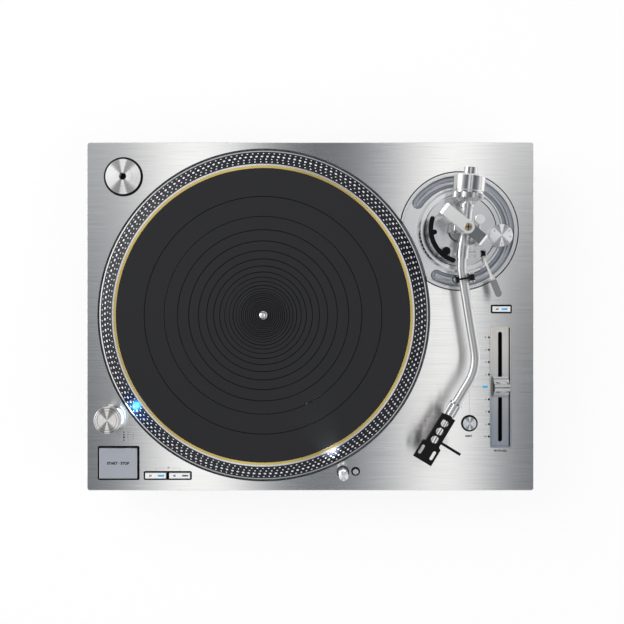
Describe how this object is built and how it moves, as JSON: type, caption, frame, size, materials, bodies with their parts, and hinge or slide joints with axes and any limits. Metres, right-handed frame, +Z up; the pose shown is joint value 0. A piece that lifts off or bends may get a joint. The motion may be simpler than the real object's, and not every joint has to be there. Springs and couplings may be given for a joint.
{
  "type": "direct drive turntable",
  "caption": "Direct drive record player with a flat metal plinth, dotted platter, S-shaped tonearm on a height ring, pitch slider, strobe pillar and pop-up lamp.",
  "frame": {"origin": "on the floor under the plinth's centre, where the foot pads stand", "axes": "+X to the user's right along the longest side, +Y to the rear, +Z up"},
  "size_m": [0.453, 0.353, 0.1689],
  "materials": {
    "panel_metal": "fine satin with a soft brushed grain",
    "frame_metal": "satin casting",
    "base_rubber": "matt moulded",
    "inner_compound": "matt moulded",
    "screw_steel": "blackened",
    "foot_metal": "turned satin",
    "foot_rubber": "matt",
    "platter_metal": "black anodised bevel with bright dots",
    "plate_brass": "lacquered satin",
    "mat_rubber": "matt with ring grooves",
    "spindle_steel": "polished",
    "magnet": "ground",
    "coil_copper": "enamelled wire on a board",
    "bearing_brass": "turned",
    "key_metal": "satin",
    "bezel_black": "matt black",
    "trough_metal": "satin",
    "knob_metal": "fine turned satin",
    "track_plastic": "matt black",
    "strobe_metal": "fine turned satin",
    "strobe_lens": "clear with blue light behind",
    "lamp_metal": "polished",
    "socket_black": "gloss black",
    "adaptor_metal": "turned",
    "well_metal": "satin casting",
    "ring_metal": "turned satin",
    "armbase_metal": "satin casting",
    "bridge_metal": "satin",
    "screw_brass": "polished",
    "gimbal_metal": "satin",
    "tube_metal": "polished",
    "housing_metal": "satin",
    "weight_metal": "turned satin",
    "dial_metal": "knurled",
    "nut_metal": "knurled",
    "shell_black": "satin black",
    "wire": "four thin leads in four colours",
    "skate_metal": "turned, knurled edge",
    "lock_metal": "satin dark",
    "lever_steel": "polished with a grey grip",
    "lifter_black": "matt black",
    "rest_metal": "satin",
    "clip_metal": "matt",
    "board_green": "circuit board",
    "supply_metal": "matt can",
    "jack_metal": "gilt shells on a dark plate",
    "inlet_plastic": "matt black"
  },
  "bodies": {
    "chassis": {"cabinet_frame": "frame_metal", "top_panel": "panel_metal", "inner_base": "inner_compound", "rubber_base": "base_rubber", "case_screws": "screw_steel", "stator_coils": "coil_copper", "bearing_housing": "bearing_brass", "button_bezels": "bezel_black", "pitch_plate": "trough_metal", "pitch_track": "track_plastic", "strobe_housing": "strobe_metal", "strobe_window": "strobe_lens", "target_socket": "socket_black", "arm_well": "well_metal", "control_board": "board_green", "power_supply": "supply_metal", "phono_jacks": "jack_metal", "mains_inlet": "inlet_plastic"},
    "turning_platter": {"platter": "platter_metal", "platter_plate": "plate_brass", "platter_mat": "mat_rubber", "spindle": "spindle_steel", "rotor_magnet": "magnet"},
    "height_ring": {"height_ring": "ring_metal"},
    "arm_base": {"arm_base": "armbase_metal", "gimbal_bridge": "bridge_metal", "pivot_screw": "screw_brass", "arm_rest": "rest_metal"},
    "gimbal": {"gimbal_ring": "gimbal_metal"},
    "arm": {"pivot_housing": "housing_metal", "arm_tube": "tube_metal", "auxiliary_weight": "weight_metal"},
    "force_dial": {"force_dial": "dial_metal"},
    "counterweight": {"counterweight": "weight_metal"},
    "headshell_nut": {"headshell_nut": "nut_metal"},
    "headshell": {"headshell": "shell_black", "lead_wires": "wire"},
    "anti_skate_dial": {"anti_skate_dial": "skate_metal"},
    "lock_knob": {"lock_knob": "lock_metal"},
    "cue_lever": {"cue_lever": "lever_steel"},
    "cue_lifter": {"cue_lifter": "lifter_black"},
    "arm_rest_clip": {"arm_rest_clip": "clip_metal"},
    "pitch_knob": {"pitch_knob": "knob_metal"},
    "start_stop_button": {"start_stop_button": "key_metal"},
    "speed_button_33": {"speed_button_33": "key_metal"},
    "speed_button_45": {"speed_button_45": "key_metal"},
    "range_button": {"range_button": "key_metal"},
    "reset_button": {"reset_button": "key_metal"},
    "target_button": {"target_button": "key_metal"},
    "power_knob": {"power_knob": "strobe_metal"},
    "target_lamp": {"target_lamp": "lamp_metal"},
    "adaptor_45": {"adaptor_45": "adaptor_metal"},
    "foot_front_left": {"foot_front_left": "foot_metal", "foot_pad_front_left": "foot_rubber"},
    "foot_front_right": {"foot_front_right": "foot_metal", "foot_pad_front_right": "foot_rubber"},
    "foot_rear_left": {"foot_rear_left": "foot_metal", "foot_pad_rear_left": "foot_rubber"},
    "foot_rear_right": {"foot_rear_right": "foot_metal", "foot_pad_rear_right": "foot_rubber"}
  },
  "joints": [
    {"name": "platter_spin", "type": "hinge", "parent": "chassis", "child": "turning_platter", "pos_m": [-0.0471, 0.0015, 0.108], "axis": [0, 0, 1], "continuous": true},
    {"name": "height_ring_turn", "type": "hinge", "parent": "chassis", "child": "height_ring", "pos_m": [0.15041, 0.08644, 0.108], "axis": [0, 0, 1], "range_deg": [0, 180]},
    {"name": "arm_base_rise", "type": "slide", "parent": "chassis", "child": "arm_base", "axis": [0, 0, 1], "range_m": [0, 0.006]},
    {"name": "arm_swing", "type": "hinge", "parent": "arm_base", "child": "gimbal", "pos_m": [0.15041, 0.08644, 0.147], "axis": [0, 0, 1], "range_deg": [-50, 0]},
    {"name": "arm_lift", "type": "hinge", "parent": "gimbal", "child": "arm", "pos_m": [0.15041, 0.08644, 0.147], "axis": [-0.9952, 0.0976, 0], "range_deg": [0, 2.25]},
    {"name": "counterweight_travel", "type": "slide", "parent": "arm", "child": "force_dial", "axis": [-0.0976, -0.9952, 0], "range_m": [-0.0015, 0.0015]},
    {"name": "counterweight_turn", "type": "hinge", "parent": "force_dial", "child": "counterweight", "pos_m": [0.15041, 0.08644, 0.147], "axis": [-0.0976, -0.9952, 0], "range_deg": [-360, 360]},
    {"name": "headshell_nut_turn", "type": "hinge", "parent": "arm", "child": "headshell_nut", "pos_m": [0.13427, -0.09626, 0.147], "axis": [-0.515, -0.8572, 0], "range_deg": [0, 70]},
    {"name": "headshell_pull", "type": "slide", "parent": "arm", "child": "headshell", "axis": [-0.515, -0.8572, 0], "range_m": [0, 0.012]},
    {"name": "anti_skate_turn", "type": "hinge", "parent": "arm_base", "child": "anti_skate_dial", "pos_m": [0.18901, 0.08084, 0.128], "axis": [0, 0, 1], "range_deg": [0, 290]},
    {"name": "height_lock_turn", "type": "hinge", "parent": "arm_base", "child": "lock_knob", "pos_m": [0.16931, 0.09744, 0.12], "axis": [0, 0, 1], "range_deg": [0, 45]},
    {"name": "cue_lever_turn", "type": "hinge", "parent": "arm_base", "child": "cue_lever", "pos_m": [0.15041, 0.06294, 0.123], "axis": [-1, 0, 0], "range_deg": [0, 40]},
    {"name": "cue_lifter_rise", "type": "slide", "parent": "arm_base", "child": "cue_lifter", "axis": [0, 0, 1], "range_m": [0, 0.00125]},
    {"name": "arm_rest_clip_turn", "type": "hinge", "parent": "arm_base", "child": "arm_rest_clip", "pos_m": [0.15552, 0.0386, 0.1562], "axis": [-0.1599, 0.9871, 0], "range_deg": [0, 95]},
    {"name": "pitch_slide", "type": "slide", "parent": "chassis", "child": "pitch_knob", "axis": [0, 1, 0], "range_m": [-0.0495, 0.0495]},
    {"name": "start_stop_press", "type": "slide", "parent": "chassis", "child": "start_stop_button", "axis": [0, 0, 1], "range_m": [-0.0018, 0], "stiffness_N_per_m": 1500, "springref_m": 0.001},
    {"name": "speed_33_press", "type": "slide", "parent": "chassis", "child": "speed_button_33", "axis": [0, 0, 1], "range_m": [-0.0018, 0], "stiffness_N_per_m": 1500, "springref_m": 0.001},
    {"name": "speed_45_press", "type": "slide", "parent": "chassis", "child": "speed_button_45", "axis": [0, 0, 1], "range_m": [-0.0018, 0], "stiffness_N_per_m": 1500, "springref_m": 0.001},
    {"name": "range_press", "type": "slide", "parent": "chassis", "child": "range_button", "axis": [0, 0, 1], "range_m": [-0.0018, 0], "stiffness_N_per_m": 1500, "springref_m": 0.001},
    {"name": "reset_press", "type": "slide", "parent": "chassis", "child": "reset_button", "axis": [0, 0, 1], "range_m": [-0.0018, 0], "stiffness_N_per_m": 1500, "springref_m": 0.001},
    {"name": "target_button_press", "type": "slide", "parent": "chassis", "child": "target_button", "axis": [0, 0, 1], "range_m": [-0.0018, 0], "stiffness_N_per_m": 1500, "springref_m": 0.001},
    {"name": "power_turn", "type": "hinge", "parent": "chassis", "child": "power_knob", "pos_m": [-0.2015, -0.1027, 0.125], "axis": [0, 0, 1], "range_deg": [0, 60]},
    {"name": "target_lamp_slide", "type": "slide", "parent": "chassis", "child": "target_lamp", "axis": [0, 0, 1], "range_m": [-0.025, 0]},
    {"name": "adaptor_lift", "type": "slide", "parent": "chassis", "child": "adaptor_45", "axis": [0, 0, 1], "range_m": [0, 0.03]},
    {"name": "foot_front_left_adjust", "type": "slide", "parent": "chassis", "child": "foot_front_left", "axis": [0, 0, -1], "range_m": [0, 0.005]},
    {"name": "foot_front_right_adjust", "type": "slide", "parent": "chassis", "child": "foot_front_right", "axis": [0, 0, -1], "range_m": [0, 0.005]},
    {"name": "foot_rear_left_adjust", "type": "slide", "parent": "chassis", "child": "foot_rear_left", "axis": [0, 0, -1], "range_m": [0, 0.005]},
    {"name": "foot_rear_right_adjust", "type": "slide", "parent": "chassis", "child": "foot_rear_right", "axis": [0, 0, -1], "range_m": [0, 0.005]}
  ],
  "couplings": [
    {"joint": "arm_base_rise", "follows": "height_ring_turn", "m_per_rad": 0.0019098},
    {"joint": "cue_lifter_rise", "follows": "cue_lever_turn", "m_per_rad": 0.001776},
    {"joint": "arm_lift", "follows": "cue_lever_turn", "ratio": 0.055},
    {"joint": "counterweight_travel", "follows": "counterweight_turn", "m_per_rad": 0.000238}
  ]
}
